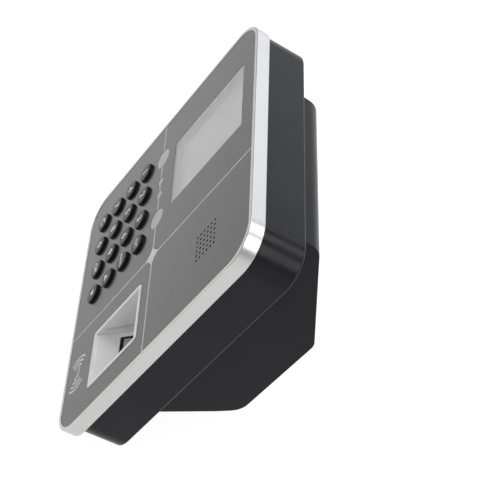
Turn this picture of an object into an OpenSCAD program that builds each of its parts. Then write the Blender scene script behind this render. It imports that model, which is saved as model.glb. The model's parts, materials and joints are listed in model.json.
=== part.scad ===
// Desk-standing time clock terminal: display, sixteen keys, fingerprint pocket, card reader and rear stand.
// Every sub-part is drawn in the face frame: X to the right, Y into the device from the front
// of the face plate, Z up the face, with the middle of the face plate at the origin.
// leaned() then tips that frame back and stands the rubber feet on Z = 0.

/* [Face plate] */
// Width of the black face plate
face_w = 150; // [146:1:156]
// Height of the black face plate, along the face
face_h = 155; // [152:1:160]
// Corner radius of the face plate
face_r = 14; // [12:0.5:14.5]
// Thickness of the face plate
face_t = 2; // [1.8:0.1:2.2]

/* [Silver frame] */
// How far the silver frame stands out beyond the face plate, on each side
frame_rim = 2; // [1.5:0.25:3]
// Depth of the silver band behind the face
frame_d = 6.8; // [6.4:0.1:6.8]
// How far the front lip stands proud of the face plate
frame_lip = 0.2; // [0:0.1:0.4]

/* [Rear housing] */
// Depth from the face to the flat back of the housing
case_back = 27.7; // [27.5:0.1:30]
// How far the housing is set in from the silver frame, left and right
case_inset = 1.4; // [1:0.1:1.6]
// How far the housing is set in from the silver frame at the top
case_inset_top = 1.4; // [1.2:0.1:2]
// How far the housing is set in from the silver frame at the bottom
case_inset_low = 4.8; // [4.4:0.1:4.8]
// Wall thickness of the housing
wall = 2.2; // [1.8:0.1:2.4]

/* [Stand] */
// Angle by which the face leans back from upright
lean = 37.1; // [36:0.1:38]
// Width of the rear stand
stand_w = 97; // [92:1:104]
// Depth from the face to the flat back of the stand
stand_back = 75.5; // [72:0.1:78]
// Wall thickness of the stand shell
stand_wall = 2.5; // [2:0.1:3]
// Thickness of the rubber feet
foot_t = 2.5; // [2:0.1:3]

/* [Display] */
// Width of the display window
window_w = 43.3; // [41:0.1:45]
// Height of the display window
window_h = 59; // [57:0.5:60]
// Middle of the window to the right of the face's middle
window_x = -28.2; // [-30:0.1:-27]
// Middle of the window above the face's middle
window_z = 39; // [38.5:0.1:40]
// Depth from the face to the display glass
display_depth = 5.4; // [4.5:0.1:5.6]

/* [Keypad] */
// Radius of a key
key_r = 5.15; // [4.8:0.05:5.4]
// How far a key stands proud of the face plate
key_proud = 1.6; // [1.1:0.1:1.8]
// Sideways spacing of the keys
key_pitch_x = 16.95; // [16:0.05:17.2]
// Spacing of the keys up the face
key_pitch_z = 14.3; // [13.5:0.1:14.6]
// Middle of the first key column
key_x0 = -53.4; // [-54:0.1:-52]
// Middle of the top key row
key_z0 = -18.3; // [-19:0.1:-18]

/* [Fingerprint pocket] */
// Width of the pocket's silver rim
pocket_w = 33.4; // [32:0.1:34]
// Height of the pocket's silver rim
pocket_h = 43.2; // [42:0.1:44]
// Middle of the pocket to the right of the face's middle
pocket_x = 45.8; // [45:0.1:46.5]
// Middle of the pocket above the face's middle
pocket_z = -31.3; // [-32:0.1:-31]
// Slope of the sensor glass away from the face plane
glass_tilt = 42; // [40:1:43]

/* [Lamps and speaker] */
// Radius of a large indicator lamp
lamp_r = 5.65; // [5:0.05:6]
// Radius of a small indicator lamp
dot_r = 2.4; // [2:0.1:2.8]
// Height of the lamps on the face
lamp_z = -2.6; // [-3:0.1:-2]
// Middle of the speaker to the right of the face's middle
speaker_x = 46; // [45:0.5:47]
// Middle of the speaker above the face's middle
speaker_z = 44.7; // [43:0.1:46]

/* [Hidden] */
$fn = 48;
cut = 1;                                  // how far a cutter runs past the face it cuts
frame_w = face_w + 2 * frame_rim;
frame_h = face_h + 2 * frame_rim;
frame_r = face_r + frame_rim;
case_w = frame_w - 2 * case_inset;
case_h = frame_h - case_inset_top - case_inset_low;
case_z = (case_inset_low - case_inset_top) / 2;   // middle of the housing above the face's middle
case_r = frame_r - case_inset;
cavity_back = case_back - wall;
fit_gap = 0.1;                            // gap round a part that drops into an opening
ledge = 2.5;                              // width of the frame's ledge under the face plate
ledge_corner = 20;                        // corner radius inside that ledge, which carries the screw bosses

board_t = 1.6;
front_board_y = face_t + 4.9;             // front of the keypad and card boards, on the plate's posts
front_board_low = -71.9;                  // lower edge of both boards
main_board_y = 10;
main_board_back = main_board_y + board_t;

key_gap = 0.2;                            // gap between a key and its hole
flange_r = key_r + 0.75;
flange_y = face_t + 0.15;
flange_t = 0.85;
key_cols = [for (i = [0:3]) key_x0 + i * key_pitch_x];
key_rows = [for (j = [0:3]) key_z0 - j * key_pitch_z];

lamp_xs = [-50.2, -7.1];
dot_xs = [-33.2, -23.8];

pocket_rim = 1.9;                         // width of the silver rim round the pocket
pocket_lip = 0.35;                        // how far that rim stands proud of the plate
pocket_low = pocket_z - pocket_h / 2;
pocket_high = pocket_z + pocket_h / 2;
pocket_half = pocket_w / 2 - pocket_rim;
glass_y = 8.9;                            // depth of the lower edge of the sensor glass
glass_z = pocket_low + 9;
glass_l = 19.6;                           // length of the sensor up its slope
sensor_w = 25.4;
sensor_cover_t = 1.2;
sensor_body_t = 3;

housing_screw_x = 68.6;
housing_screw_z = 66.4;
housing_seat_y = 16;                      // where the heads of the housing screws sit
board_screw_xs = [-60, 16];
board_screw_z = 56;
stand_screw_x = 40;
stand_screw_zs = [58, -56];
front_posts = [[-61.8, -12], [-61.8, -69.9], [6.2, -12], [6.2, -69.9], [24.5, -64], [56, -64]];

ethernet_z = 28;
usb_z = 1;
dc_z = -25;
socket_face = -case_w / 2 + 0.3;          // the sockets stop just inside the housing's left side

cell_r = 9.2;                             // radius of one rechargeable cell
pack_l = 68;
tray_t = 1.6;
pack_y = case_back + tray_t + cell_r;
wire_gate = [24, 20];                     // opening through the housing's back for the battery lead
wire_gate_z = 34;

wall_screw_x = 30;
wall_screw_z = -6;
wall_screw_r = 2.25;

// Side outline of the stand, from the housing's back: top, upper back edge, lower back edge, foot line
stand_top = 70;
stand_low = -76.2;                        // lower front corner of the stand
foot_rise = tan(lean);
stand_points = [
    [case_back, stand_low],
    [case_back, stand_top],
    [40.6, stand_top],
    [stand_back, 19],
    [stand_back, stand_low + (stand_back - case_back) * foot_rise]
];
stand_radii = [0, 0, 9, 7, 12];
foot_plane = -case_back * sin(lean) + stand_low * cos(lean);
foot_xs = [-38, 38];
foot_ys = [-16, 23];
foot_r = 5;

rise = foot_t - foot_plane;               // lifts the leaned device so that the feet reach Z = 0
front_y = -(frame_lip * cos(lean) + (frame_h / 2) * sin(lean));
rear_y = max([for (p = rounded(stand_points, stand_radii)) p.x * cos(lean) + p.y * sin(lean)]);
slide = -(front_y + rear_y) / 2;          // centres the leaned device on Y = 0

KEYS = ["key_1", "key_2", "key_3", "key_esc", "key_4", "key_5", "key_6", "key_menu",
        "key_7", "key_8", "key_9", "key_up", "key_clear", "key_0", "key_ok", "key_down"];

// ---- helpers ----

// Turns the face frame into the standing frame
module leaned() {
    translate([0, slide, rise]) rotate([-lean, 0, 0]) children();
}

// Extrudes an outline drawn in face coordinates (x, z) from depth y0 to depth y1
module slab(y0, y1) {
    translate([0, y1, 0]) rotate([90, 0, 0]) linear_extrude(y1 - y0) children();
}

// Extrudes an outline drawn as (y, z) from x0 to x1
module across(x0, x1) {
    translate([x0, 0, 0]) rotate([90, 0, 90]) linear_extrude(x1 - x0) children();
}

// Round bar along Y
module rod(y0, y1, r) {
    translate([0, y0, 0]) rotate([-90, 0, 0]) cylinder(h = y1 - y0, r = r);
}

// Rectangle with round corners, about its middle
module rounded_rect(w, h, r) {
    square([w - 2 * r, h], center = true);
    square([w, h - 2 * r], center = true);
    for (sx = [-1, 1], sz = [-1, 1])
        translate([sx * (w / 2 - r), sz * (h / 2 - r)]) circle(r);
}

// Block between two opposite corners
module block(a, b) {
    translate(a) cube(b - a);
}

// Puts the children at a place on the face
module at(x, z) {
    translate([x, 0, z]) children();
}

// Puts the children on the sensor's slope: Z runs up the glass, Y goes into it
module on_glass() {
    translate([pocket_x, glass_y, glass_z]) rotate([-glass_tilt, 0, 0]) children();
}

// Round wire through a list of points; side is a direction that no stretch of the wire follows
module wire(points, r, side) {
    last = len(points) - 1;
    sides = 8;
    rings = [for (i = [0:last])
        let (along = unit(points[max(i - 1, 0)], points[min(i + 1, last)]),
             u = unit([0, 0, 0], cross(along, side)), v = cross(along, u))
        for (k = [0:sides - 1]) points[i] + r * (cos(360 * k / sides) * u + sin(360 * k / sides) * v)];
    walls = [for (i = [0:last - 1], k = [0:sides - 1])
        let (n = (k + 1) % sides) [i * sides + n, i * sides + k, (i + 1) * sides + k, (i + 1) * sides + n]];
    polyhedron(rings, concat([[for (k = [0:sides - 1]) k]], walls,
                             [[for (k = [sides - 1:-1:0]) last * sides + k]]));
}

// Screw along Y with its head at the depth head_y, pointing towards dir (1 deeper, -1 towards the face)
module screw(head_y, dir, head_r, head_h, shaft_r, shaft_l) {
    translate([0, head_y, 0]) rotate([dir > 0 ? -90 : 90, 0, 0]) {
        difference() {
            translate([0, 0, -head_h]) cylinder(h = head_h, r = head_r, $fn = 32);
            for (a = [0, 90]) rotate([0, 0, a])
                translate([-head_r * 0.6, -head_r * 0.12, -head_h - cut])
                    cube([head_r * 1.2, head_r * 0.24, head_h * 0.5 + cut]);
        }
        cylinder(h = shaft_l, r = shaft_r, $fn = 24);
    }
}

// Unit vector from a to b
function unit(a, b) = (b - a) / norm(b - a);

// The point list of a corner at p, between neighbours a and b, rounded with radius r
function corner(a, p, b, r, steps = 8) =
    r == 0 ? [p] :
    let (u = unit(p, a), v = unit(p, b), half = acos(u * v) / 2,
         middle = p + unit([0, 0], u + v) * r / sin(half),
         first = p + u * r / tan(half), last = p + v * r / tan(half),
         a0 = atan2(first.y - middle.y, first.x - middle.x),
         a1 = atan2(last.y - middle.y, last.x - middle.x),
         sweep = (a1 - a0 + 540) % 360 - 180)
    [for (i = [0:steps]) middle + r * [cos(a0 + sweep * i / steps), sin(a0 + sweep * i / steps)]];

// A closed outline with one radius for each corner
function rounded(points, radii) =
    let (n = len(points))
    [for (i = [0:n - 1]) each corner(points[(i + n - 1) % n], points[i], points[(i + 1) % n], radii[i])];

// Where the line through p along d meets the line through q along e
function meet(p, d, q, e) =
    let (k = d.x * e.y - d.y * e.x) p + d * ((q.x - p.x) * e.y - (q.y - p.y) * e.x) / k;

// The clockwise outline moved inwards by t on each edge but the first, which stays
function inset(points, t) =
    let (n = len(points),
         dirs = [for (i = [0:n - 1]) unit(points[i], points[(i + 1) % n])],
         starts = [for (i = [0:n - 1]) points[i] + (i == 0 ? 0 : t) * [dirs[i].y, -dirs[i].x]])
    [for (i = [0:n - 1]) meet(starts[(i + n - 1) % n], dirs[(i + n - 1) % n], starts[i], dirs[i])];

// ---- front ----

module face_plate() {
    color("#1d1e20") leaned() {
        difference() {
            union() {
                slab(0, face_t) rounded_rect(face_w, face_h, face_r);
                for (p = front_posts) at(p.x, p.y) rod(face_t - fit_gap, front_board_y, 2.2);
                at(speaker_x, speaker_z) difference() {
                    rod(face_t - fit_gap, face_t + 2.5, 19.4);
                    rod(face_t, face_t + 2.5 + cut, 18.1);
                }
            }
            translate([window_x, 0, window_z]) slab(-cut, face_t + cut)
                square([window_w + fit_gap, window_h + fit_gap], center = true);
            for (x = key_cols, z = key_rows) at(x, z) rod(-cut, face_t + cut, key_r + key_gap);
            for (x = lamp_xs) at(x, lamp_z) rod(-cut, face_t + cut, lamp_r + fit_gap / 2);
            for (x = dot_xs) at(x, lamp_z) rod(-cut, face_t + cut, dot_r + fit_gap / 2);
            at(pocket_x, pocket_z) slab(-cut, face_t + cut)
                rounded_rect(pocket_w + 2 * fit_gap, pocket_h + 2 * fit_gap, 2.1);
            speaker_holes();
            for (p = front_posts) at(p.x, p.y) rod(face_t + 0.6, front_board_y + cut, 1.05);
        }
    }
}

// Six by six sound holes, in a square
module speaker_holes() {
    hole_pitch = 2.7;
    for (i = [-2.5:2.5], j = [-2.5:2.5])
        at(speaker_x + i * hole_pitch, speaker_z + j * hole_pitch)
            rod(-cut, face_t + cut, 0.65, $fn = 24);
}

module display_lens() {
    color("#b9babc") leaned() at(window_x, window_z)
        slab(0.1, face_t) square([window_w, window_h], center = true);
}

module chrome_frame() {
    color("#d5d7da") leaned() difference() {
        union() {
            difference() {
                slab(-frame_lip, frame_d) rounded_rect(frame_w, frame_h, frame_r);
                slab(-frame_lip - cut, face_t)
                    rounded_rect(face_w + fit_gap, face_h + fit_gap, face_r + fit_gap / 2);
                slab(face_t - cut, frame_d + cut)
                    rounded_rect(face_w - 2 * ledge, face_h - 2 * ledge, ledge_corner);
            }
            for (sx = [-1, 1], sz = [-1, 1])
                at(sx * housing_screw_x, sz * housing_screw_z) rod(face_t, frame_d, 3.6);
        }
        for (sx = [-1, 1], sz = [-1, 1])
            at(sx * housing_screw_x, sz * housing_screw_z) rod(face_t + 0.8, frame_d + cut, 1.25);
    }
}

// ---- display and lamps ----

module lcd_frame() {
    color("#c9cacc") leaned() at(window_x, window_z) difference() {
        slab(face_t, display_depth + 3) square([window_w + 7.7, window_h + 8], center = true);
        slab(face_t - cut, display_depth + cut) square([window_w, window_h], center = true);
        slab(display_depth, display_depth + 3 + cut) square([window_w + 5, window_h + 5], center = true);
    }
}

module lcd_panel() {
    color("#aeb0b2") leaned() at(window_x, window_z)
        slab(display_depth, display_depth + 2.6) square([window_w + 4.8, window_h + 4.8], center = true);
}

module lcd_ribbon() {
    top = display_depth + 2.6;
    low = window_z - window_h / 2;
    t = 0.15;
    color("#b4762c") leaned() across(window_x - 8, window_x + 8)
        polygon([[top, low + 12], [top + t, low + 12], [top + t, low + 2], [main_board_y, low - 6],
                 [main_board_y, low - 12], [main_board_y - t, low - 12], [main_board_y - t, low - 6],
                 [top, low + 2]]);
}

// A round light guide: its front is level with the plate, its flange sits behind the plate
module lamp_lens(x, r) {
    at(x, lamp_z) rod(0.05, face_t, r);
    at(x, lamp_z) rod(face_t, face_t + 0.9, r + 0.7);
}

module left_lamp_lens() {
    color("#b3b1b4") leaned() lamp_lens(lamp_xs[0], lamp_r);
}

module right_lamp_lens() {
    color("#b3b1b4") leaned() lamp_lens(lamp_xs[1], lamp_r);
}

module small_lamp_lenses() {
    color("#a7a6a8") leaned() for (x = dot_xs) lamp_lens(x, dot_r);
}

module indicator_leds() {
    color("#e8e6d8") leaned() for (x = concat(lamp_xs, dot_xs))
        at(x, lamp_z) slab(front_board_y - 1.8, front_board_y) square([3.4, 2.8], center = true);
}

// ---- keypad ----

module keypad_board() {
    left = front_posts[0].x - 2.3;
    right = front_posts[2].x + 2.4;
    color("#1f5b3c") leaned() difference() {
        block([left, front_board_y, front_board_low], [right, front_board_y + board_t, 4.2]);
        for (i = [0:3]) at(front_posts[i].x, front_posts[i].y)
            rod(front_board_y - cut, front_board_y + board_t + cut, 1.3);
    }
}

module keypad_membrane() {
    sheet = front_board_y - 0.8;
    color("#8b8d90") leaned() {
        difference() {
            block([key_x0 - 6.2, sheet, key_rows[3] - 6.2],
                  [key_cols[3] + 6.2, front_board_y, key_z0 + 6.2]);
            for (i = [0:3]) at(front_posts[i].x, front_posts[i].y) rod(sheet - cut, front_board_y + cut, 2.6);
        }
        for (x = key_cols, z = key_rows) at(x, z) rod(sheet - 1.25, sheet + fit_gap, 2.8);
    }
}

// One key: a round cap with an eased edge and a flange that stops it behind the plate
module keycap(index) {
    color("#6f6e6f") leaned()
        at(key_cols[index % 4], key_rows[floor(index / 4)])
            rotate([-90, 0, 0]) rotate_extrude()
                polygon([[0, -key_proud], [key_r - 0.7, -key_proud], [key_r, -key_proud + 0.5],
                         [key_r, flange_y], [flange_r, flange_y], [flange_r, flange_y + flange_t],
                         [0, flange_y + flange_t]]);
}

// ---- fingerprint reader ----

// Hollow of the pocket: a steep ramp, the sensor's slope, and a roof back to the upper rim
module pocket_hollow() {
    deep_y = glass_y + glass_l * sin(glass_tilt);
    deep_z = glass_z + glass_l * cos(glass_tilt);
    across(pocket_x - pocket_half, pocket_x + pocket_half)
        polygon([[-pocket_lip - cut, pocket_low + pocket_rim], [0.5, pocket_low + pocket_rim],
                 [glass_y - 0.6, glass_z - 1.4], [glass_y, glass_z], [deep_y, deep_z],
                 [0.5, pocket_high - pocket_rim], [-pocket_lip - cut, pocket_high - pocket_rim]]);
}

module finger_tray() {
    deep_y = glass_y + glass_l * sin(glass_tilt);
    deep_z = glass_z + glass_l * cos(glass_tilt);
    skin = 1.5;
    color("#cfd0d2") leaned() difference() {
        union() {
            at(pocket_x, pocket_z) slab(-pocket_lip, face_t) rounded_rect(pocket_w, pocket_h, 2);
            at(pocket_x, pocket_z) slab(face_t, face_t + 1.2) rounded_rect(pocket_w + 4, pocket_h + 4, 3);
            across(pocket_x - pocket_half - skin, pocket_x + pocket_half + skin)
                polygon([[face_t, pocket_low], [glass_y + 1.2, glass_z - 3.2], [deep_y + 1.6, deep_z - 1.2],
                         [deep_y + 1.6, deep_z + 1.6], [face_t, pocket_high]]);
        }
        pocket_hollow();
        on_glass() slab(-0.3, 6) translate([0, glass_l / 2 + 0.1])
            square([sensor_w + fit_gap, glass_l - fit_gap], center = true);
    }
}

// Outline of the sensor on its slope, and of the clear window in it
module sensor_outline() {
    translate([0, glass_l / 2 + 0.1]) square([sensor_w, glass_l - 0.2], center = true);
}

module sensor_window() {
    border = 1.2;
    lower_border = 2;
    translate([border - sensor_w / 2, lower_border])
        square([sensor_w - 2 * border, glass_l - lower_border - border - 0.2]);
}

module sensor_gasket() {
    color("#0c0c0d") leaned() on_glass() slab(0, sensor_cover_t) difference() {
        sensor_outline();
        sensor_window();
    }
}

module sensor_glass() {
    color("#9da0a4") leaned() on_glass() slab(0.1, sensor_cover_t) sensor_window();
}

module sensor_module() {
    color("#26282b") leaned() on_glass() slab(sensor_cover_t, sensor_cover_t + sensor_body_t)
        sensor_outline();
}

// ---- speaker ----

module speaker_gasket() {
    color("#2b2b2b") leaned() at(speaker_x, speaker_z) difference() {
        rod(face_t, face_t + 0.6, 17.9);
        rod(face_t - cut, face_t + 0.6 + cut, 15.4);
    }
}

module speaker_basket() {
    front = face_t + 0.6;
    color("#3a3c3f") leaned() at(speaker_x, speaker_z) translate([0, front, 0]) rotate([-90, 0, 0])
        rotate_extrude() polygon([[15.6, 0], [17.9, 0], [17.9, 1], [16.6, 1.2], [10.4, 5.6], [9.5, 5.6],
                                  [9.5, 10.6], [0, 10.6], [0, 5], [7.6, 5], [15.6, 0.8]]);
}

module speaker_cone() {
    front = face_t + 0.6;
    color("#161617") leaned() at(speaker_x, speaker_z) translate([0, front, 0]) rotate([-90, 0, 0])
        rotate_extrude() polygon([[0, 3], [3, 3.4], [6.8, 4.2], [13, 0.7], [14.2, 0.1], [15.5, 0.1],
                                  [15.5, 0.5], [14.3, 0.6], [7.2, 4.9], [0, 4.9]]);
}

module speaker_lead() {
    back = face_t + 6.6;
    pad = main_board_y - 0.6;
    color("#8c2f2a") leaned() for (k = [0, 1])
        translate(k * [-1.4, 0, 1.4])
            wire([[speaker_x - 11.9, back, speaker_z], [speaker_x - 15, back + 0.4, speaker_z - 1],
                  [27, pad, 36], [22, pad, 34], [18, pad, 34]], 0.6, [0, 1, 0]);
}

// ---- card reader ----

module card_board() {
    color("#1f5b3c") leaned() difference() {
        block([front_posts[4].x - 2.6, front_board_y, front_board_low],
              [front_posts[5].x + 2.6, front_board_y + board_t, -55]);
        for (i = [4, 5]) at(front_posts[i].x, front_posts[i].y)
            rod(front_board_y - cut, front_board_y + board_t + cut, 1.3);
    }
}

// Flat aerial coil, as closed loops of track
module card_coil() {
    coil_w = 26;
    coil_h = 15.6;
    track = 0.9;                          // twice the width of one track
    middle_x = (front_posts[4].x + front_posts[5].x) / 2;
    color("#b87333") leaned() at(middle_x, -63.8) slab(front_board_y - 0.12, front_board_y)
        for (k = [0:4]) difference() {
            rounded_rect(coil_w - 2 * k, coil_h - 2 * k, 1.4);
            rounded_rect(coil_w - track - 2 * k, coil_h - track - 2 * k, 0.95);
        }
}

// ---- main board ----

module main_board() {
    color("#185138") leaned() difference() {
        block([-71.5, main_board_y, -62], [22, main_board_back, 62]);
        for (x = board_screw_xs, sz = [-1, 1])
            at(x, sz * board_screw_z) rod(main_board_y - cut, main_board_back + cut, 1.3);
    }
}

// Processor, memory, network and power parts on the back of the board: x, z, width, height, depth
module board_chips() {
    chips = [[-26, 24, 16, 16, 1.4], [-2, 24, 12, 18, 1.2], [-26, 2, 18, 10, 1.2],
             [4, -6, 22, 14, 2.4], [-34, -46, 8, 8, 3.4], [-18, -50, 8, 8, 3.4], [2, -44, 14, 6, 4.5]];
    color("#202124") leaned() for (c = chips)
        block([c[0] - c[2] / 2, main_board_back, c[1] - c[3] / 2],
              [c[0] + c[2] / 2, main_board_back + c[4], c[1] + c[3] / 2]);
}

module cell_holder() {
    color("#303236") leaned() at(-26, -22) difference() {
        rod(main_board_back, main_board_back + 3.6, 11.6);
        rod(main_board_back + 0.8, main_board_back + 3.6 + cut, 10.1);
    }
}

module coin_cell() {
    color("#c4c6c8") leaned() at(-26, -22) {
        rod(main_board_back + 0.8, main_board_back + 1.4, 9);
        rod(main_board_back + 1.4, main_board_back + 4, 10);
    }
}

module ethernet_socket() {
    front = main_board_back;
    color("#9a9c9f") leaned() difference() {
        block([socket_face, front, ethernet_z - 8], [socket_face + 21, front + 13.4, ethernet_z + 8]);
        block([socket_face - cut, front + 2.4, ethernet_z - 5.9],
              [socket_face + 13, front + 9.2, ethernet_z + 5.9]);
        block([socket_face - cut, front + 1, ethernet_z - 3], [socket_face + 6, front + 2.5, ethernet_z + 3]);
    }
}

module usb_socket() {
    middle = main_board_back + 3.5;
    color("#b5b7ba") leaned() {
        difference() {
            block([socket_face, middle - 3.5, usb_z - 7.2], [socket_face + 17, middle + 3.5, usb_z + 7.2]);
            block([socket_face - cut, middle - 2.7, usb_z - 6.3],
                  [socket_face + 11, middle + 2.7, usb_z + 6.3]);
        }
        block([socket_face + 1.6, middle - 2.7, usb_z - 5.8], [socket_face + 11, middle - 0.8, usb_z + 5.8]);
    }
}

// Power inlet: a square body with a round hollow and its centre pin
module dc_jack() {
    middle = main_board_back + 5.5;
    color("#1a1b1c") leaned() {
        difference() {
            block([socket_face, middle - 5.5, dc_z - 4.5], [socket_face + 14, middle + 5.5, dc_z + 4.5]);
            translate([socket_face - cut, middle, dc_z]) rotate([0, 90, 0]) cylinder(h = 9 + cut, r = 3.2);
        }
        translate([socket_face + 1, middle, dc_z]) rotate([0, 90, 0]) cylinder(h = 8.5, r = 1, $fn = 24);
    }
}

// ---- housing, stand and battery ----

module rear_housing() {
    color("#27272a") leaned() difference() {
        union() {
            difference() {
                at(0, case_z) slab(frame_d, case_back) rounded_rect(case_w, case_h, case_r);
                at(0, case_z) slab(frame_d - cut, cavity_back)
                    rounded_rect(case_w - 2 * wall, case_h - 2 * wall, case_r - wall);
            }
            for (sx = [-1, 1], sz = [-1, 1])
                at(sx * housing_screw_x, sz * housing_screw_z) rod(frame_d, cavity_back + cut, 4.4);
            for (x = board_screw_xs, sz = [-1, 1])
                at(x, sz * board_screw_z) rod(main_board_back, cavity_back + cut, 3);
        }
        for (sx = [-1, 1], sz = [-1, 1]) at(sx * housing_screw_x, sz * housing_screw_z) {
            rod(frame_d - cut, case_back + cut, 1.6);
            rod(housing_seat_y, case_back + cut, 3.1);
        }
        for (x = board_screw_xs, sz = [-1, 1])
            at(x, sz * board_screw_z) rod(main_board_back - cut, main_board_back + 8, 1.05);
        for (sx = [-1, 1], z = stand_screw_zs)
            at(sx * stand_screw_x, z) rod(cavity_back - cut, case_back + cut, 1.6);
        at(0, wire_gate_z) slab(cavity_back - cut, case_back + cut) square(wire_gate, center = true);
        socket_gate(ethernet_z, 16, 13.4);
        socket_gate(usb_z, 14.4, 7);
        socket_gate(dc_z, 9, 11);
    }
}

// Opening through the left wall round a socket that stands on the main board
module socket_gate(z, w, h) {
    block([-case_w / 2 - cut, main_board_back - fit_gap, z - w / 2 - fit_gap],
          [-case_w / 2 + wall + cut, main_board_back + h + fit_gap, z + w / 2 + fit_gap]);
}

module stand_shell() {
    inner_radii = [0, 0, 6.5, 4.5, 9.5];
    color("#232325") leaned() difference() {
        union() {
            difference() {
                across(-stand_w / 2, stand_w / 2) polygon(rounded(stand_points, stand_radii));
                across(-stand_w / 2 + stand_wall, stand_w / 2 - stand_wall)
                    polygon(rounded(inset(stand_points, stand_wall), inner_radii));
            }
            intersection() {
                across(-stand_w / 2, stand_w / 2) polygon(stand_points);
                for (sx = [-1, 1], z = stand_screw_zs) {
                    at(sx * stand_screw_x, z) rod(case_back, case_back + 10, 3.6);
                    at(sx * (stand_screw_x + 3.5), z) block([-3.5, case_back, -1], [3.5, case_back + 10, 1]);
                }
            }
        }
        for (sx = [-1, 1], z = stand_screw_zs)
            at(sx * stand_screw_x, z) rod(case_back - cut, case_back + 9, 1.25);
        for (sx = [-1, 1])
            at(sx * wall_screw_x, wall_screw_z)
                rod(stand_back - stand_wall - cut, stand_back + cut, wall_screw_r);
    }
}

module rubber_feet() {
    color("#2e2e2e") for (x = foot_xs, y = foot_ys)
        translate([x, y + slide, 0]) cylinder(h = foot_t, r = foot_r);
}

module battery_tray() {
    wall_t = 4;
    tray_h = 8;
    half_l = pack_l / 2 + 0.3;
    half_w = 2 * cell_r + 1.1;
    floor_y = case_back + tray_t;
    color("#33353a") leaned() difference() {
        block([-half_l - wall_t, case_back, -half_w - wall_t],
              [half_l + wall_t, case_back + tray_h, half_w + wall_t]);
        block([-half_l, floor_y, -half_w], [half_l, case_back + tray_h + cut, half_w]);
        for (side = [-1, 1]) translate([0, floor_y, side * (half_w + wall_t)])
            block([-half_l - 1.7, 0, -2], [half_l + 1.7, tray_h, 2]);
    }
}

// Outline of two cells side by side, as (y, z), grown by g
module pack_outline(g) {
    for (sz = [-1, 1]) translate([pack_y, sz * cell_r]) circle(cell_r + g);
    translate([pack_y - cell_r - g, -cell_r]) square([2 * (cell_r + g), 2 * cell_r]);
}

module battery_pack() {
    color("#2f5f9a") leaned() across(-pack_l / 2, pack_l / 2) pack_outline(0);
}

// Hook-and-loop strap over the pack, its ends held down in the tray
module battery_strap() {
    color("#151515") leaned() across(-7, 7) difference() {
        pack_outline(0.9);
        pack_outline(0.1);
        translate([case_back - cell_r, -3 * cell_r]) square([cell_r + tray_t + 0.2, 6 * cell_r]);
    }
}

module battery_lead() {
    pad = main_board_back + 0.7;
    color("#a3272b") leaned() for (dx = [8.6, 11])
        wire([[dx, pack_y + 3, 2 * cell_r + 0.4], [dx, pack_y - 1, 24], [dx, pack_y - 6, 30],
              [dx, case_back, 34], [dx, 20, 36], [dx, pad + 1.5, 40],
              [dx, pad, 44], [dx, pad, 49]], 0.7, [1, 0, 0]);
}

// ---- fasteners ----

module front_screws() {
    color("#8f9194") leaned() for (p = front_posts)
        at(p.x, p.y) screw(front_board_y + board_t, -1, 1.9, 1.3, 0.95, 4.2);
}

module board_screws() {
    color("#8f9194") leaned() for (x = board_screw_xs, sz = [-1, 1])
        at(x, sz * board_screw_z) screw(main_board_y, 1, 2.1, 1.3, 0.95, 8);
}

module housing_screws() {
    color("#8f9194") leaned() for (sx = [-1, 1], sz = [-1, 1])
        at(sx * housing_screw_x, sz * housing_screw_z) screw(housing_seat_y, -1, 2.8, 2, 1.15, 12.6);
}

module stand_screws() {
    color("#8f9194") leaned() for (sx = [-1, 1], z = stand_screw_zs)
        at(sx * stand_screw_x, z) screw(cavity_back, 1, 2.7, 1.6, 1.15, 10);
}

face_plate();
display_lens();
chrome_frame();
rear_housing();
stand_shell();
rubber_feet();
lcd_panel();
lcd_frame();
lcd_ribbon();
left_lamp_lens();
right_lamp_lens();
small_lamp_lenses();
indicator_leds();
keypad_membrane();
keypad_board();
for (i = [0:15]) keycap(i);
finger_tray();
sensor_gasket();
sensor_glass();
sensor_module();
speaker_gasket();
speaker_basket();
speaker_cone();
speaker_lead();
card_board();
card_coil();
main_board();
board_chips();
cell_holder();
coin_cell();
ethernet_socket();
usb_socket();
dc_jack();
battery_tray();
battery_pack();
battery_strap();
battery_lead();
front_screws();
board_screws();
housing_screws();
stand_screws();
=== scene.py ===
"""Looks of the time clock terminal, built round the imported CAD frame.

Lengths are millimetres in the face frame: X to the right, Y into the device from the front of the
face plate, Z up the face, origin in the middle of the plate. FACE turns them into the row frame.
"""

import json
import math

import bmesh
import bpy
from mathutils import Matrix, Vector

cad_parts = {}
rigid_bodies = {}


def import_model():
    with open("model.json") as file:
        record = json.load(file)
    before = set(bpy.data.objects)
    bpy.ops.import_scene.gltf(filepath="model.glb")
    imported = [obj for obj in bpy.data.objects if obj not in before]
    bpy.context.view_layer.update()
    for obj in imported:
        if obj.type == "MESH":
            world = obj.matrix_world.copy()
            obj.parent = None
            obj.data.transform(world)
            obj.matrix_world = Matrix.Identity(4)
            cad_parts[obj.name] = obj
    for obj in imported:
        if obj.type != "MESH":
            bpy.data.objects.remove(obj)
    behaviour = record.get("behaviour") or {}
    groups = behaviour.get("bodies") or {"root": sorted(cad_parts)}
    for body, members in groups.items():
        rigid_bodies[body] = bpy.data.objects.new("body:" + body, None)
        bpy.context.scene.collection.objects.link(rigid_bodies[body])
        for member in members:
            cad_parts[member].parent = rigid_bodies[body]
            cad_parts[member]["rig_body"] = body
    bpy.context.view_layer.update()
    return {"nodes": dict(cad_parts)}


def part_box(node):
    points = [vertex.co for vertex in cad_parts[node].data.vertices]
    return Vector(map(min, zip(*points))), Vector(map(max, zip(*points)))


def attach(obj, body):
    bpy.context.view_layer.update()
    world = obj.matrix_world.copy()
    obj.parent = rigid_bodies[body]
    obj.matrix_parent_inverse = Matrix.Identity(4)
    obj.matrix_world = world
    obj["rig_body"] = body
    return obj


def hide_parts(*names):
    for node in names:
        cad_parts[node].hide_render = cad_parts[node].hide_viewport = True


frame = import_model()

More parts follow.
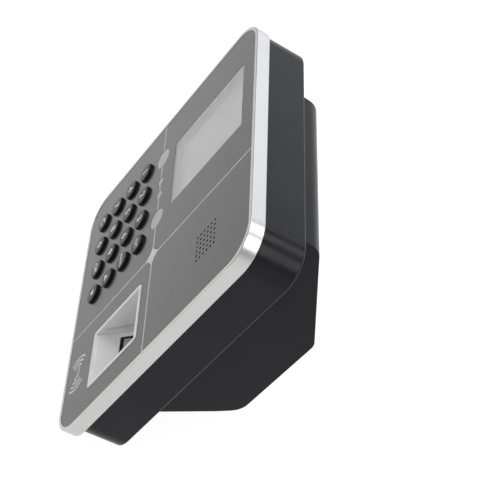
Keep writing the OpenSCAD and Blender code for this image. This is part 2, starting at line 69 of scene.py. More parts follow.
# ---- sizes, as in the CAD model ----

MM = 0.001
LEAN = math.radians(37.1)
PLATE_W, PLATE_H, PLATE_R = 150, 155, 14
FRAME_BORDER = 2
FRAME_W, FRAME_H = PLATE_W + 2 * FRAME_BORDER, PLATE_H + 2 * FRAME_BORDER
FRAME_R = PLATE_R + FRAME_BORDER
FRAME_LIP = 0.2
FRAME_BACK = 6.8
CASE_INSET, CASE_INSET_LOW = 1.4, 4.8     # from the frame: top and sides, bottom
CASE_W = FRAME_W - 2 * CASE_INSET
CASE_H = FRAME_H - CASE_INSET - CASE_INSET_LOW
CASE_R = FRAME_R - CASE_INSET
CASE_Z = (CASE_INSET_LOW - CASE_INSET) / 2
CASE_BACK = 27.7
STAND_HALF = 48.5
STAND_BACK = 75.5
KEY_R = 5.15
KEY_PROUD = 1.6
KEY_FLANGE = (5.9, 2.15, 3.0)         # its radius, front and back
KEY_FIRST = (-53.4, -18.3)            # middle of the top left key
KEY_STEP = (16.95, -14.3)             # from one key to the next, across and down
KEYS_PER_ROW = 4
LAMP_Z = -2.6
LAMPS = [(-50.2, 5.65), (-33.2, 2.4), (-23.8, 2.4), (-7.1, 5.65)]     # x, radius
POCKET = (45.8, -31.3, 33.4, 43.2)    # middle x and z, width, height
POCKET_CORNER = 2
POCKET_RIM = 1.9
SEAM = ((1.5, -44.6), (10.7, -33.9))  # (y, z) ends of the seam on the pocket's left wall
SEAM_GAP = 1.1
SEAM_WIDTH = 0.22
DIVIDER_X = 17.7
STAR = (17.5, -2.8)
CARD_SIGN = (44.4, -66.8)

PRINT = 0.04          # how far printed ink stands proud
WELD = 2e-6           # metres; joins the vertices that the CAD export splits
SHARP = math.radians(30)
FLAT = math.radians(0.4)
FACE_FLATNESS = 80    # how much large faces rule the shading of the edges beside them


def face_to_row():
    """The face frame's place in the row frame, from the silver frame's own box."""
    low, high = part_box("chrome_frame")
    s, c = math.sin(LEAN), math.cos(LEAN)
    lip, half = FRAME_LIP * MM, FRAME_H / 2 * MM
    slide = low.y + lip * c + half * s
    rise = high.z - lip * s - half * c
    place = Matrix.Translation((0, slide, rise)) @ Matrix.Rotation(-LEAN, 4, "X")
    return place @ Matrix.Diagonal((MM, MM, MM, 1))


FACE = face_to_row()
FACE_INVERSE = FACE.inverted()

# ---- camera, first ----

CAMERA_AT = (412.93, -182.89, 360.30)
CAMERA_AHEAD = (-0.7104, 0.3766, -0.5946)
CAMERA_DOWN = (0.7031, 0.4162, -0.5765)
CAMERA_LENS = 92.9
CAMERA_CLIP = (0.01, 50)
SENSOR = 36


def make_camera():
    data = bpy.data.cameras.new("camera")
    data.lens = CAMERA_LENS
    data.sensor_width = SENSOR
    data.clip_start, data.clip_end = CAMERA_CLIP
    camera = bpy.data.objects.new("camera", data)
    bpy.context.scene.collection.objects.link(camera)
    turn = Matrix.Rotation(-LEAN, 3, "X")
    ahead = (turn @ Vector(CAMERA_AHEAD)).normalized()
    right = (turn @ Vector(CAMERA_DOWN)).cross(ahead).normalized()
    up = right.cross(ahead)
    axes = Matrix((right, up, -ahead)).transposed()
    camera.matrix_world = Matrix.Translation(FACE @ Vector(CAMERA_AT)) @ axes.to_4x4()
    bpy.context.scene.camera = camera


make_camera()

# ---- materials ----

MIX_A, MIX_B, MIX_RESULT = 6, 7, 2    # the colour sockets of a Mix node
WORN_TO_FLAT = (0.86, 0.995)          # how well soft and true normals agree there
COAT_ROUGH = 0.06


class Nodes:
    """Short names for making and linking the nodes of one material."""

    def __init__(self, name):
        self.material = bpy.data.materials.new(name)
        self.material.use_nodes = True
        self.tree = self.material.node_tree
        self.shader = self.tree.nodes["Principled BSDF"]
        self.place = self.add("ShaderNodeTexCoord").outputs["Object"]

    def add(self, kind, **settings):
        node = self.tree.nodes.new(kind)
        for key, value in settings.items():
            setattr(node, key, value)
        return node

    def link(self, a, b):
        self.tree.links.new(a, b)

    def noise(self, scale, detail=3.0, roughness=0.5, stretch=None):
        node = self.add("ShaderNodeTexNoise")
        node.inputs["Scale"].default_value = scale
        node.inputs["Detail"].default_value = detail
        node.inputs["Roughness"].default_value = roughness
        self.link(self.stretched(stretch), node.inputs["Vector"])
        return node.outputs["Fac"]

    def stretched(self, stretch):
        """Object coordinates, turned to the face frame and scaled on each axis."""
        if stretch is None:
            return self.place
        node = self.add("ShaderNodeMapping")
        node.inputs["Rotation"].default_value = (LEAN, 0, 0)
        node.inputs["Scale"].default_value = stretch
        self.link(self.place, node.inputs["Vector"])
        return node.outputs["Vector"]

    def ranged(self, value, low, high, start=0.35, end=0.65):
        node = self.add("ShaderNodeMapRange")
        node.inputs["From Min"].default_value = start
        node.inputs["From Max"].default_value = end
        node.inputs["To Min"].default_value = low
        node.inputs["To Max"].default_value = high
        self.link(value, node.inputs["Value"])
        return node.outputs["Result"]

    def mixed(self, share, a, b):
        """A colour between a and b; each is a colour or an output."""
        node = self.add("ShaderNodeMix", data_type="RGBA")
        self.link(share, node.inputs["Factor"])
        for value, index in ((a, MIX_A), (b, MIX_B)):
            if isinstance(value, tuple):
                node.inputs[index].default_value = (*value, 1)
            else:
                self.link(value, node.inputs[index])
        return node.outputs[MIX_RESULT]

    def bump(self, height, distance):
        node = self.add("ShaderNodeBump")
        node.inputs["Distance"].default_value = distance
        self.link(height, node.inputs["Height"])
        return node.outputs["Normal"]

    def edges(self, radius):
        """1 on worn edges, 0 on flat faces."""
        soft = self.add("ShaderNodeBevel", samples=4)
        soft.inputs["Radius"].default_value = radius
        real = self.add("ShaderNodeNewGeometry")
        dot = self.add("ShaderNodeVectorMath", operation="DOT_PRODUCT")
        self.link(soft.outputs["Normal"], dot.inputs[0])
        self.link(real.outputs["Normal"], dot.inputs[1])
        return self.ranged(dot.outputs["Value"], 1.0, 0.0, *WORN_TO_FLAT)


def shade(color, factor):
    return tuple(min(1.0, c * factor) for c in color)


def finish_of(name, color, rough, metallic=0.0, gloss=0.5, ior=1.5, coat=0.0,
              grain=3000, depth=0.00001, smear=0.05, tone=0.12, patch=40,
              worn=None, stretch=None, clear=0.0):
    """A moulded, painted or plated surface: fine grain, uneven gloss and tone.

    grain and patch are noise scales, depth is the grain's in metres, smear and tone are the
    spread of roughness and colour; worn is (edge radius, share, colour).
    """
    n = Nodes(name)
    s = n.shader.inputs
    s["Metallic"].default_value = metallic
    s["IOR"].default_value = ior
    s["Specular IOR Level"].default_value = gloss
    s["Coat Weight"].default_value = coat
    s["Coat Roughness"].default_value = COAT_ROUGH
    s["Transmission Weight"].default_value = clear
    broad = n.noise(patch, 4.0)
    fine = n.noise(grain, 2.0, stretch=stretch)
    tint = n.mixed(n.ranged(broad, 0, 1, 0.3, 0.7),
                   shade(color, 1 - tone), shade(color, 1 + tone))
    if worn:
        radius, most, bare = worn
        share = n.add("ShaderNodeMath", operation="MULTIPLY")
        n.link(n.edges(radius), share.inputs[0])
        n.link(n.ranged(n.noise(patch * 8, 5.0), 0.0, most), share.inputs[1])
        tint = n.mixed(share.outputs["Value"], tint, bare)
    n.link(tint, s["Base Color"])
    smears = n.noise(patch * 3, 5.0, 0.6)
    n.link(n.ranged(smears, rough - smear, rough + smear), s["Roughness"])
    n.link(n.bump(fine, depth), s["Normal"])
    return n.material


def circuit_board():
    """Solder mask over fine tracks."""
    n = Nodes("circuit_board")
    tracks = n.add("ShaderNodeTexBrick")
    tracks.inputs["Scale"].default_value = 260
    tracks.inputs["Mortar Size"].default_value = 0.03
    tracks.inputs["Color1"].default_value = (0.015, 0.10, 0.05, 1)
    tracks.inputs["Color2"].default_value = (0.02, 0.13, 0.065, 1)
    tracks.inputs["Mortar"].default_value = (0.05, 0.25, 0.12, 1)
    n.link(n.stretched((1, 1, 1)), tracks.inputs["Vector"])
    n.link(tracks.outputs["Color"], n.shader.inputs["Base Color"])
    n.link(n.ranged(n.noise(900), 0.25, 0.4), n.shader.inputs["Roughness"])
    n.link(n.bump(tracks.outputs["Fac"], 0.00003), n.shader.inputs["Normal"])
    return n.material


def screen():
    """Unlit display: a grey reflector under a fine grid of cells."""
    n = Nodes("screen")
    cells = n.add("ShaderNodeTexBrick", offset=0.0)
    cells.inputs["Scale"].default_value = 1000
    cells.inputs["Brick Width"].default_value = 0.36
    cells.inputs["Row Height"].default_value = 0.36
    cells.inputs["Mortar Size"].default_value = 0.012
    cells.inputs["Color1"].default_value = (0.61, 0.595, 0.59, 1)
    cells.inputs["Color2"].default_value = (0.63, 0.62, 0.61, 1)
    cells.inputs["Mortar"].default_value = (0.56, 0.55, 0.545, 1)
    n.link(n.stretched((1, 1, 1)), cells.inputs["Vector"])
    n.link(cells.outputs["Color"], n.shader.inputs["Base Color"])
    n.link(n.ranged(n.noise(60), 0.40, 0.46), n.shader.inputs["Roughness"])
    n.link(n.bump(n.noise(2500), 0.000002), n.shader.inputs["Normal"])
    return n.material


def woven():
    """Black hook-and-loop strap."""
    n = Nodes("strap")
    over = n.add("ShaderNodeTexWave", wave_type="BANDS", bands_direction="DIAGONAL")
    over.inputs["Scale"].default_value = 900
    over.inputs["Distortion"].default_value = 1.5
    n.link(n.place, over.inputs["Vector"])
    thread = n.mixed(over.outputs["Fac"], (0.008, 0.008, 0.008), (0.035, 0.035, 0.036))
    n.link(thread, n.shader.inputs["Base Color"])
    n.link(n.ranged(n.noise(700), 0.7, 0.95), n.shader.inputs["Roughness"])
    n.link(n.bump(over.outputs["Fac"], 0.00012), n.shader.inputs["Normal"])
    return n.material


BARE = (0.0004, 0.2, (0.85, 0.85, 0.85))      # brighter metal on worn edges

MATERIALS = {
    "black_gloss": finish_of(
        "black_gloss", (0.027, 0.0265, 0.027), 0.22,
        grain=1600, depth=0.0000006, smear=0.015, tone=0.05, patch=25),
    "clear_lens": finish_of(
        "clear_lens", (0.96, 0.965, 0.965), 0.05, ior=1.49, clear=1.0,
        grain=900, depth=0.000001, smear=0.02, tone=0.01),
    "silver": finish_of(
        "silver", (0.535, 0.532, 0.523), 0.32, metallic=1.0, worn=BARE,
        grain=5200, depth=0.0000008, smear=0.03, tone=0.015, patch=60),
    "black_matte": finish_of(
        "black_matte", (0.012, 0.012, 0.0145), 0.27, gloss=0.11,
        grain=3600, depth=0.000003, smear=0.04, patch=30),
    "rubber": finish_of(
        "rubber", (0.03, 0.03, 0.03), 0.8, gloss=0.3, grain=1800, depth=0.00004, tone=0.2),
    "screen": screen(),
    "grey_plastic": finish_of(
        "grey_plastic", (0.44, 0.44, 0.44), 0.5, grain=3200, depth=0.00002, tone=0.05),
    "ribbon": finish_of("ribbon", (0.42, 0.19, 0.05), 0.3, grain=600, stretch=(8, 1, 1)),
    "lamp_lens": finish_of(
        "lamp_lens", (0.27, 0.27, 0.275), 0.16, coat=0.3,
        grain=900, depth=0.000004, smear=0.04, tone=0.05, patch=300),
    "led": finish_of("led", (0.72, 0.70, 0.62), 0.3, grain=2500),
    "circuit_board": circuit_board(),
    "key_plastic": finish_of(
        "key_plastic", (0.012, 0.012, 0.013), 0.24, gloss=0.12,
        grain=2200, depth=0.000003, patch=90),
    "tray_silver": finish_of(
        "tray_silver", (0.78, 0.78, 0.785), 0.42, metallic=0.1, worn=BARE,
        grain=5200, depth=0.000008, smear=0.06, tone=0.04, patch=80),
    "sensor_glass": finish_of(
        "sensor_glass", (0.36, 0.37, 0.375), 0.18, coat=0.6,
        grain=1200, depth=0.000003, smear=0.06, tone=0.08, patch=120),
    "speaker_paper": finish_of(
        "speaker_paper", (0.012, 0.012, 0.012), 0.8, grain=1500, depth=0.00006),
    "copper": finish_of(
        "copper", (0.72, 0.36, 0.18), 0.3, metallic=1.0, grain=2500, depth=0.000008),
    "steel": finish_of(
        "steel", (0.56, 0.57, 0.58), 0.28, metallic=1.0,
        grain=2600, depth=0.000008, stretch=(1, 9, 1), tone=0.06),
    "wire": finish_of("wire", (0.42, 0.025, 0.02), 0.45, grain=1500),
    "battery_wrap": finish_of(
        "battery_wrap", (0.02, 0.09, 0.30), 0.22, grain=500, depth=0.00003),
    "strap": woven(),
    "ink": finish_of("ink", (0.66, 0.65, 0.64), 0.45, depth=0.000008, tone=0.06, patch=200),
    "seam": finish_of("seam", (0.25, 0.25, 0.25), 0.6, depth=0.000004),
    "key_ink": finish_of(
        "key_ink", (0.74, 0.74, 0.735), 0.4, depth=0.000008, tone=0.08, patch=300),
}

# ---- mesh helpers ----


def smooth(mesh):
    for polygon in mesh.polygons:
        polygon.use_smooth = True
    mesh.set_sharp_from_angle(angle=SHARP)


def place_piece(mesh, name, finish, body):
    """An object for a finished mesh, with its material, riding on a body."""
    piece = bpy.data.objects.new(name, mesh)
    bpy.context.scene.collection.objects.link(piece)
    mesh.materials.clear()
    mesh.materials.append(MATERIALS[finish])
    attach(piece, body)
    return piece


def weighted(piece):
    """Keeps big flat faces flat beside their rounded edges."""
    normal = piece.modifiers.new("weighted", "WEIGHTED_NORMAL")
    normal.keep_sharp = True
    normal.weight = FACE_FLATNESS
    return piece


def cad_mesh(node):
    """A bmesh of a CAD node in the face frame: vertices joined, flat areas made one face."""
    source = frame["nodes"][node].data
    plain = bpy.data.meshes.new(node + "_plain")
    plain.from_pydata([v.co for v in source.vertices], [],
                      [list(p.vertices) for p in source.polygons])
    bm = bmesh.new()
    bm.from_mesh(plain)
    bpy.data.meshes.remove(plain)
    bmesh.ops.remove_doubles(bm, verts=bm.verts, dist=WELD)
    bmesh.ops.dissolve_limit(bm, angle_limit=FLAT, verts=bm.verts, edges=bm.edges)
    bmesh.ops.transform(bm, matrix=FACE_INVERSE, verts=bm.verts)
    return bm


def eased(node, finish, rules):
    """Stands for a CAD node: its own shape with chosen edges rounded.

    Each rule is (test of an end point, radius, segments); an edge is rounded if both ends pass.
    """
    bm = cad_mesh(node)
    for test, radius, segments in rules:
        chosen = [e for e in bm.edges
                  if len(e.link_faces) == 2 and e.calc_face_angle() > SHARP
                  and all(test(v.co) for v in e.verts)]
        bmesh.ops.bevel(bm, geom=chosen, offset=radius, offset_type="OFFSET",
                        segments=segments, profile=0.5, affect="EDGES", clamp_overlap=True)
    bmesh.ops.transform(bm, matrix=FACE, verts=bm.verts)
    mesh = bpy.data.meshes.new(node + "_shell")
    bm.to_mesh(mesh)
    bm.free()
    smooth(mesh)
    body = frame["nodes"][node]["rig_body"]
    piece = weighted(place_piece(mesh, node + "_shell", finish, body))
    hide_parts(node)


def inside(x, z, w, h, r):
    """How far a point lies inside a rounded rectangle about the origin."""
    dx, dz = abs(x) - (w / 2 - r), abs(z) - (h / 2 - r)
    if dx > 0 and dz > 0:
        return r - math.hypot(dx, dz)
    return r - max(dx, dz)


def finished(bm, name):
    """The bmesh, moved to the row frame, as a mesh."""
    bmesh.ops.recalc_face_normals(bm, faces=bm.faces)
    bmesh.ops.transform(bm, matrix=FACE, verts=bm.verts)
    mesh = bpy.data.meshes.new(name)
    bm.to_mesh(mesh)
    bm.free()
    return mesh


def add_solid(bm, front, back):
    """Adds a solid between two rings of points that match one for one."""
    front = [bm.verts.new(p) for p in front]
    back = [bm.verts.new(p) for p in back]
    bm.faces.new(front)
    bm.faces.new(list(reversed(back)))
    count = len(front)
    for i in range(count):
        j = (i + 1) % count
        bm.faces.new((front[j], front[i], back[i], back[j]))


def add_prism(bm, outline, y0, y1):
    """Adds an outline of (x, z) points, extruded from y0 to y1."""
    add_solid(bm, [(x, y0, z) for x, z in outline], [(x, y1, z) for x, z in outline])


def lathe(profile, x, z, name, segments=64):
    """Turns a profile of (radius, y) points round the line through (x, z); both ends are closed."""
    bm = bmesh.new()
    rings = []
    for r, y in profile:
        rings.append([bm.verts.new((x + r * math.cos(2 * math.pi * k / segments), y,
                                    z + r * math.sin(2 * math.pi * k / segments)))
                      for k in range(segments)])
    for a, b in zip(rings, rings[1:]):
        for k in range(segments):
            m = (k + 1) % segments
            bm.faces.new((a[k], a[m], b[m], b[k]))
    bm.faces.new(rings[0])
    bm.faces.new(list(reversed(rings[-1])))
    return finished(bm, name)


def arc(cx, cz, r, a0, a1, steps):
    """Points on an arc about (cx, cz), from angle a0 to a1 in degrees."""
    return [(cx + r * math.cos(math.radians(a0 + (a1 - a0) * i / steps)),
             cz + r * math.sin(math.radians(a0 + (a1 - a0) * i / steps)))
            for i in range(steps + 1)]


LETTER_FATTENING = 0.018      # share of the letter height
LETTER_WELD = 0.001


def print_on(name, outlines, body="casing", y=0.0, ink="ink"):
    """Ink on a flat surface whose front is at y."""
    bm = bmesh.new()
    for outline in outlines:
        add_prism(bm, outline, y - PRINT, y + PRINT)
    place_piece(finished(bm, name), name, ink, body)


def lettering(name, text, x, z, height, y, body):
    """Raised letters, flat, facing out of the face."""
    data = bpy.data.curves.new(name + "_curve", "FONT")
    data.body = text
    data.size = height
    data.align_x = "CENTER"
    data.align_y = "CENTER"
    data.extrude = PRINT
    data.offset = LETTER_FATTENING * height
    data.resolution_u = 4
    words = bpy.data.objects.new(name + "_words", data)
    bpy.context.scene.collection.objects.link(words)
    bpy.context.view_layer.update()
    finished_words = words.evaluated_get(bpy.context.evaluated_depsgraph_get())
    made = bpy.data.meshes.new_from_object(finished_words)
    bpy.data.objects.remove(words)
    bm = bmesh.new()
    bm.from_mesh(made)
    bpy.data.meshes.remove(made)
    bmesh.ops.remove_doubles(bm, verts=bm.verts, dist=LETTER_WELD)
    stand = Matrix.Translation((x, y, z)) @ Matrix.Rotation(math.pi / 2, 4, "X")
    bmesh.ops.transform(bm, matrix=stand, verts=bm.verts)
    place_piece(finished(bm, name), name, "key_ink", body)


# ---- the face, frame, housing and stand ----

# radius and segments of each rounded edge
PLATE_EDGE = (0.12, 2)
WINDOW_EDGE = (0.18, 3)
FRAME_FRONT_EDGE = (0.3, 4)
FRAME_BACK_EDGE = (0.45, 3)
FRAME_INNER_EDGE = (0.12, 2)
CASE_BACK_EDGE = (1.1, 5)
SMALL_EDGE = (0.3, 2)
STAND_SIDE_EDGE = (1.2, 5)
WALL_HOLE_EDGE = (0.35, 2)
FOOT_EDGE = (0.4, 3)
LAMP_EDGE = (0.25, 3)

NEAR = 0.1                # a point this close to a plane or to the case's outline is on it
OUTLINE_NEAR = 0.3        # the same for the outlines of the frame and the finger pocket
FRONT = 0.15              # anything ahead of this is on the front
SOCKETS_Y = (8, 26)       # where the sockets lie between front and back
SCREW_SEATS_X = 55        # the housing's screw seats lie outside this
WALL_HOLES_INSET = 5      # the wall-screw holes lie further in from the stand's sides


def near_front(p):
    return p.y < FRONT


def everywhere(p):
    return True


def build_shells():
    def frame_outer(p):
        return inside(p.x, p.z, FRAME_W, FRAME_H, FRAME_R) < OUTLINE_NEAR

    def case_outer(p):
        return inside(p.x, p.z - CASE_Z, CASE_W, CASE_H, CASE_R) < NEAR

    def case_rear(p):
        return p.y > CASE_BACK - NEAR

    def socket_mouth(p):
        return p.x < -CASE_W / 2 + NEAR and SOCKETS_Y[0] < p.y < SOCKETS_Y[1]

    def wall_hole(p):
        return abs(p.x) < STAND_HALF - WALL_HOLES_INSET and p.y > STAND_BACK - NEAR

    eased("face_plate", "black_gloss", [(near_front, *PLATE_EDGE)])
    eased("display_lens", "clear_lens", [(near_front, *WINDOW_EDGE)])
    eased("chrome_frame", "silver", [
        (lambda p: frame_outer(p) and p.y < 0, *FRAME_FRONT_EDGE),
        (lambda p: frame_outer(p) and p.y > FRAME_BACK - NEAR, *FRAME_BACK_EDGE),
        (lambda p: not frame_outer(p) and p.y < -NEAR, *FRAME_INNER_EDGE)])
    eased("rear_housing", "black_matte", [
        (lambda p: case_outer(p) and case_rear(p), *CASE_BACK_EDGE),
        (lambda p: case_outer(p) and p.y < FRAME_BACK + NEAR, *SMALL_EDGE),
        (socket_mouth, *SMALL_EDGE),
        (lambda p: not case_outer(p) and case_rear(p) and abs(p.x) > SCREW_SEATS_X, *SMALL_EDGE)])
    eased("stand_shell", "black_matte", [
        (lambda p: abs(p.x) > STAND_HALF - NEAR and p.y > CASE_BACK + NEAR, *STAND_SIDE_EDGE),
        (wall_hole, *WALL_HOLE_EDGE)])
    eased("rubber_feet", "rubber", [(everywhere, *FOOT_EDGE)])


# ---- the finger pocket and the lamps ----

POCKET_FLOOR_EDGE = (2.8, 7)
POCKET_OUTER_EDGE = (0.25, 3)
POCKET_MOUTH_EDGE = (0.55, 4)
GASKET_EDGE = (0.25, 2)
GLASS_EDGE = (0.15, 2)
RIM_Y = -0.2              # only the pocket's rim stands ahead of this
WALL_NEAR = 0.05
WALL_START = 0.4          # the walls run in from here; their upper part starts deeper
UPPER_WALL_START = 1


def build_pocket():
    x0, z0, w, h = POCKET

    def rim(p):
        return p.y < RIM_Y

    def rim_outer(p):
        return rim(p) and inside(p.x - x0, p.z - z0, w, h, POCKET_CORNER) < OUTLINE_NEAR

    def floor_corner(p):
        on_wall = abs(abs(p.x - x0) - (w / 2 - POCKET_RIM)) < WALL_NEAR
        start = UPPER_WALL_START if p.z > z0 else WALL_START
        return on_wall and p.y > start and p.z < SEAM[1][1]

    eased("finger_tray", "tray_silver", [
        (floor_corner, *POCKET_FLOOR_EDGE),
        (rim_outer, *POCKET_OUTER_EDGE),
        (lambda p: rim(p) and not rim_outer(p), *POCKET_MOUTH_EDGE)])
    wall_x = x0 - w / 2 + POCKET_RIM
    (y0, z_low), (y1, z_top) = SEAM
    bm = bmesh.new()
    for shift in (0, SEAM_GAP):
        a, b = (y0, z_low - shift), (y1, z_top - shift)
        strip = [a, b, (b[0], b[1] - SEAM_WIDTH), (a[0], a[1] - SEAM_WIDTH)]
        add_solid(bm, [(wall_x - PRINT, y, z) for y, z in strip],
                  [(wall_x + PRINT, y, z) for y, z in strip])
    place_piece(finished(bm, "pocket_seams"), "pocket_seams", "seam", "casing")
    eased("sensor_gasket", "black_matte", [(everywhere, *GASKET_EDGE)])
    eased("sensor_glass", "sensor_glass", [(everywhere, *GLASS_EDGE)])


def build_lamps():
    for node in ("left_lamp_lens", "right_lamp_lens", "small_lamp_lenses"):
        eased(node, "lamp_lens", [(near_front, *LAMP_EDGE)])


# ---- keys and their legends ----

KEYS = [
    ("key_1", "1"), ("key_2", "2"), ("key_3", "3"), ("key_esc", "ESC"),
    ("key_4", "4"), ("key_5", "5"), ("key_6", "6"), ("key_menu", "MENU"),
    ("key_7", "7"), ("key_8", "8"), ("key_9", "9"), ("key_up", "up"),
    ("key_clear", "C"), ("key_0", "0"), ("key_ok", "OK"), ("key_down", "down"),
]
DIGIT_HEIGHT = 6.2
WORD_HEIGHT = {"ESC": 3.5, "MENU": 2.9, "OK": 4.4}
ARROW = 1.8
CROWN = 0.06              # how far a key's middle stands above its shoulder
CROWN_RINGS = (0.08, 0.3, 0.55, 0.72)     # shares of the key's radius
CROWN_AT_SHOULDER = 0.75  # share of the crown's fall that is done there
SHOULDER = (0.75, 0.5)    # how wide and how deep the rounding of a key's edge is
LEGEND_Y = -KEY_PROUD - 0.01


def key_profile():
    r_flange, y_flange, y_back = KEY_FLANGE
    wide, deep = SHOULDER
    top = -KEY_PROUD
    crown = [(KEY_R * t, top + CROWN * t * t) for t in CROWN_RINGS]
    last = KEY_R - wide
    turn = [(last + wide * math.sin(math.radians(a)),
             top + CROWN * CROWN_AT_SHOULDER + deep * (1 - math.cos(math.radians(a))))
            for a in range(0, 91, 15)]
    return crown + turn + [(KEY_R, y_flange), (r_flange, y_flange), (r_flange, y_back)]


def arrow(x, z, s):
    """A triangle pointing up, or down if s is negative."""
    outline = [(x - ARROW * 1.1, z - s * 0.8), (x + ARROW * 1.1, z - s * 0.8), (x, z + s)]
    if s < 0:
        outline.reverse()
    return outline


def build_keys():
    profile = key_profile()
    for index, (node, legend) in enumerate(KEYS):
        x = KEY_FIRST[0] + KEY_STEP[0] * (index % KEYS_PER_ROW)
        z = KEY_FIRST[1] + KEY_STEP[1] * (index // KEYS_PER_ROW)
        mesh = lathe(profile, x, z, node + "_cap")
        smooth(mesh)
        cap = weighted(place_piece(mesh, node + "_cap", "key_plastic", node))
        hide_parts(node)
        name = node + "_legend"
        if legend in ("up", "down"):
            size = ARROW if legend == "up" else -ARROW
            print_on(name, [arrow(x, z, size)], node, LEGEND_Y, "key_ink")
        else:
            height = WORD_HEIGHT.get(legend, DIGIT_HEIGHT)
            lettering(name, legend, x, z, height, LEGEND_Y, node)


# ---- printing on the face ----

LINE = 0.7
LINE_GAP = 0.3            # between a line and a lamp or the plate's edge
STAR_TIP = 6.5
STAR_STEPS = 10
STAR_POWER = 2.9          # the higher, the thinner its arms
STAR_Y = -0.02
WAVE_RADII = (5.1, 7.4, 9.6)
WAVE_THICK = 1.0
WAVE_HALF = 40            # degrees each wave reaches to either side
WAVE_STEPS = 16
CARD_BARS = [(-3.4, 2.6, 1.8, 2.3), (-3.4, 2.6, 0.1, 0.6),
             (-3.4, -2.9, 0.6, 1.8), (2.1, 2.6, 0.6, 1.8)]
CARD_WEDGE = [(0.2, -0.6), (1.4, -1.9), (3.8, -1.9), (3.8, -0.6)]


def bar(x0, x1, z0, z1):
    return [(x0, z0), (x1, z0), (x1, z1), (x0, z1)]


def print_lines():
    half = LINE / 2
    end_x, end_z = PLATE_W / 2 - LINE_GAP, PLATE_H / 2 - LINE_GAP
    stops = [-end_x]
    for x, r in LAMPS:
        stops += [x - r - LINE_GAP, x + r + LINE_GAP]
    stops += [DIVIDER_X - half]
    level = [bar(a, b, LAMP_Z - half, LAMP_Z + half) for a, b in zip(stops[::2], stops[1::2])]
    level += [bar(DIVIDER_X + half, end_x, LAMP_Z - half, LAMP_Z + half)]
    upright = [bar(DIVIDER_X - half, DIVIDER_X + half, -end_z, end_z)]
    print_on("divider_lines", level + upright)


def print_star():
    cx, cz = STAR
    star = []
    for k in range(4):
        # a quarter of a concave star, from one tip to the next
        turn = math.pi / 2 * k
        for i in range(STAR_STEPS):
            a = math.pi / 2 * (i / STAR_STEPS)
            u, v = math.cos(a) ** STAR_POWER, math.sin(a) ** STAR_POWER
            star.append((cx + STAR_TIP * (u * math.cos(turn) - v * math.sin(turn)),
                         cz + STAR_TIP * (u * math.sin(turn) + v * math.cos(turn))))
    print_on("divider_star", [star], y=STAR_Y)


def print_card_sign():
    cx, cz = CARD_SIGN
    waves = []
    for r in WAVE_RADII:
        for side in (0, 180):
            low, high = side - WAVE_HALF, side + WAVE_HALF
            outer = arc(cx, cz, r + WAVE_THICK / 2, low, high, WAVE_STEPS)
            inner = arc(cx, cz, r - WAVE_THICK / 2, high, low, WAVE_STEPS)
            waves.append(outer + inner)
    print_on("card_waves", waves)
    card = [bar(cx + x0, cx + x1, cz + z0, cz + z1) for x0, x1, z0, z1 in CARD_BARS]
    card.append([(cx + x, cz + z) for x, z in CARD_WEDGE])
    print_on("card_sign", card)


# ---- CAD nodes that stay as they are, with their finishes ----

AS_MADE = {
    "lcd_panel": "screen", "lcd_frame": "grey_plastic", "lcd_ribbon": "ribbon",
    "indicator_leds": "led", "keypad_membrane": "rubber", "keypad_board": "circuit_board",
    "sensor_module": "black_matte", "speaker_gasket": "rubber", "speaker_basket": "steel",
    "speaker_cone": "speaker_paper", "speaker_lead": "wire", "card_board": "circuit_board",
    "card_coil": "copper", "main_board": "circuit_board", "board_chips": "black_matte",
    "cell_holder": "black_matte", "coin_cell": "steel", "ethernet_socket": "steel",
    "usb_socket": "steel", "dc_jack": "black_matte", "battery_tray": "black_matte",
    "battery_pack": "battery_wrap", "battery_strap": "strap", "battery_lead": "wire",
    "front_screws": "steel", "board_screws": "steel", "housing_screws": "steel",
    "stand_screws": "steel",
}


def dress_nodes():
    for name, finish in AS_MADE.items():
        node = frame["nodes"][name]
        node.data.materials.clear()
        node.data.materials.append(MATERIALS[finish])


# ---- floor and light ----

FLOOR_SIZE = 12
FLOOR_COLOR = (0.2, 0.2, 0.2)
FLOOR_GLOW = 0.93     # the floor is a lit white table, so shadows on it are faint


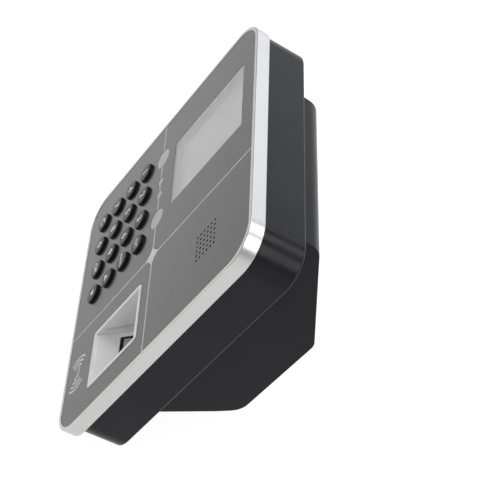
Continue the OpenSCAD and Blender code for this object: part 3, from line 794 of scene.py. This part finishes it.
def build_floor():
    mesh = bpy.data.meshes.new("floor")
    h = FLOOR_SIZE / 2
    mesh.from_pydata([(-h, -h, 0), (h, -h, 0), (h, h, 0), (-h, h, 0)], [], [(0, 1, 2, 3)])
    floor = bpy.data.objects.new("floor", mesh)
    bpy.context.scene.collection.objects.link(floor)
    paper = finish_of("floor_paper", FLOOR_COLOR, 0.9, gloss=0.1,
                      grain=1500, tone=0.01, patch=3)
    shader = paper.node_tree.nodes["Principled BSDF"].inputs
    shader["Emission Color"].default_value = (1, 1, 1, 1)
    shader["Emission Strength"].default_value = FLOOR_GLOW
    mesh.materials.append(paper)


def softbox(name, azimuth, height, distance, size, brightness, tint):
    """A rectangular panel facing the object; azimuth and height are the angles it is seen at."""
    data = bpy.data.lights.new(name, "AREA")
    data.shape = "RECTANGLE"
    data.size, data.size_y = size
    data.energy = brightness * math.pi * size[0] * size[1]
    data.color = tint
    light = bpy.data.objects.new(name, data)
    bpy.context.scene.collection.objects.link(light)
    turn, rise = math.radians(azimuth), math.radians(height)
    at = distance * Vector((math.cos(turn) * math.cos(rise),
                            math.sin(turn) * math.cos(rise), math.sin(rise)))
    light.location = at
    light.rotation_mode = "QUATERNION"
    light.rotation_quaternion = (-at).to_track_quat("-Z", "Y")


ROOM = 0.25           # how bright the studio is away from its panels
WHITE = (1, 1, 1)
PANELS = [
    # name, azimuth, height, distance, size, brightness, tint
    ("top_panel", 125, 60, 1.7, (1.7, 1.3), 2.6, WHITE),
    ("front_panel", 305, 50, 1.6, (1.2, 1.2), 1.2, WHITE),
    ("left_panel", 149, 18, 2.3, (1.6, 1.3), 1.3, (0.94, 0.98, 1.04)),
    ("back_panel", 102, 30, 1.5, (0.5, 0.6), 4.5, WHITE),
    ("right_panel", 57, 26, 1.5, (0.72, 0.5), 5.5, WHITE),
]


def build_light():
    world = bpy.data.worlds.new("studio")
    bpy.context.scene.world = world
    world.use_nodes = True
    back = world.node_tree.nodes["Background"]
    back.inputs["Color"].default_value = (1, 1, 1, 1)
    back.inputs["Strength"].default_value = ROOM
    for panel in PANELS:
        softbox(*panel)
    view = bpy.context.scene.view_settings
    view.view_transform = "Standard"
    view.look = "None"


build_shells()
build_pocket()
build_lamps()
build_keys()
print_lines()
print_star()
print_card_sign()
dress_nodes()
build_floor()
build_light()
